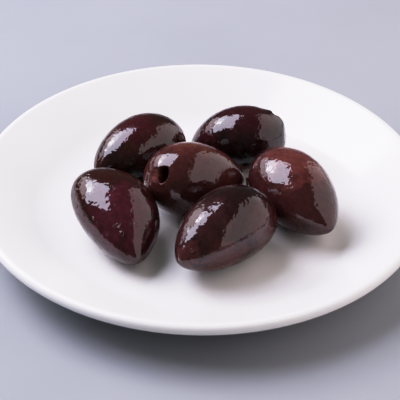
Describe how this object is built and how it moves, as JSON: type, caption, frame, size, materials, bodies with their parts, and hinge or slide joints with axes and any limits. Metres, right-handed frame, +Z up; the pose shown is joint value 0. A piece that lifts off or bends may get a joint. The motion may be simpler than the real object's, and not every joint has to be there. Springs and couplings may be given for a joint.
{
  "type": "dish of olives",
  "caption": "Small round white coupe dish holding a loose group of large glossy dark olives, some with an open pit hole.",
  "frame": {"origin": "centre of the dish's footprint, on the surface that the dish stands on", "axes": "+Z up, +Y from the side seen first towards the back of the dish, +X to the right seen from that side"},
  "size_m": [0.14, 0.14, 0.0291],
  "materials": {
    "white_glaze": "glossy clear glaze over white porcelain",
    "olive_skin_wine": "wet glossy olive skin, wine purple",
    "olive_skin_dark": "wet glossy olive skin, nearly black",
    "olive_skin_brown": "wet glossy olive skin, red brown"
  },
  "bodies": {
    "root": {"dish": "white_glaze", "olive_front_left": "olive_skin_wine", "olive_back_left": "olive_skin_dark", "olive_centre": "olive_skin_brown", "olive_back_right": "olive_skin_dark", "olive_right": "olive_skin_brown", "olive_front": "olive_skin_wine"}
  },
  "joints": []
}
